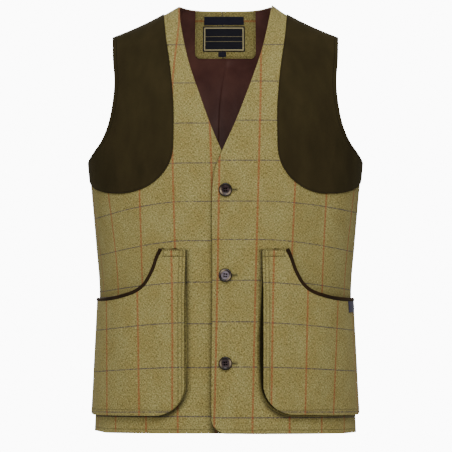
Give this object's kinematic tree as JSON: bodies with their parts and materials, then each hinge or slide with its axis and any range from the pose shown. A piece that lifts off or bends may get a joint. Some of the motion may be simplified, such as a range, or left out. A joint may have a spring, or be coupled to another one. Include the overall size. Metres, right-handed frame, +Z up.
{
  "type": "tweed gilet",
  "caption": "Sleeveless V-neck tweed shooting gilet with suede-like shoulder patches, bellows pockets with slanted bound mouths and a button front, filled out as when worn",
  "frame": {"origin": "midway between the shoulder seams, 25 mm below the neck points, where the garment hangs on its wearer", "axes": "+X to the wearer's left, +Y to the back, +Z up"},
  "size_m": [0.4404, 0.2502, 0.6807],
  "materials": {
    "tweed": "brushed wool tweed, olive fawn with a red and a blue-grey windowpane check",
    "moleskin": "dark olive brown napped cotton moleskin",
    "binding": "dark brown suede-like binding",
    "satin_lining": "burgundy brown satin",
    "woven_label": "woven black and navy label, bare",
    "horn": "polished dark horn"
  },
  "bodies": {
    "root": {"front_left": "tweed", "front_right": "tweed", "back": "tweed", "neck_facing": "tweed", "pocket_left": "tweed", "pocket_right": "tweed", "pocket_gusset_left": "tweed", "pocket_gusset_right": "tweed", "pocket_piping_left": "binding", "pocket_piping_right": "binding", "shoulder_patch_left": "moleskin", "shoulder_patch_right": "moleskin", "back_lining": "satin_lining", "label_main": "woven_label", "label_strip": "woven_label", "label_size": "woven_label", "side_tab": "woven_label", "button_top": "horn", "button_middle": "horn", "button_bottom": "horn"}
  },
  "joints": []
}
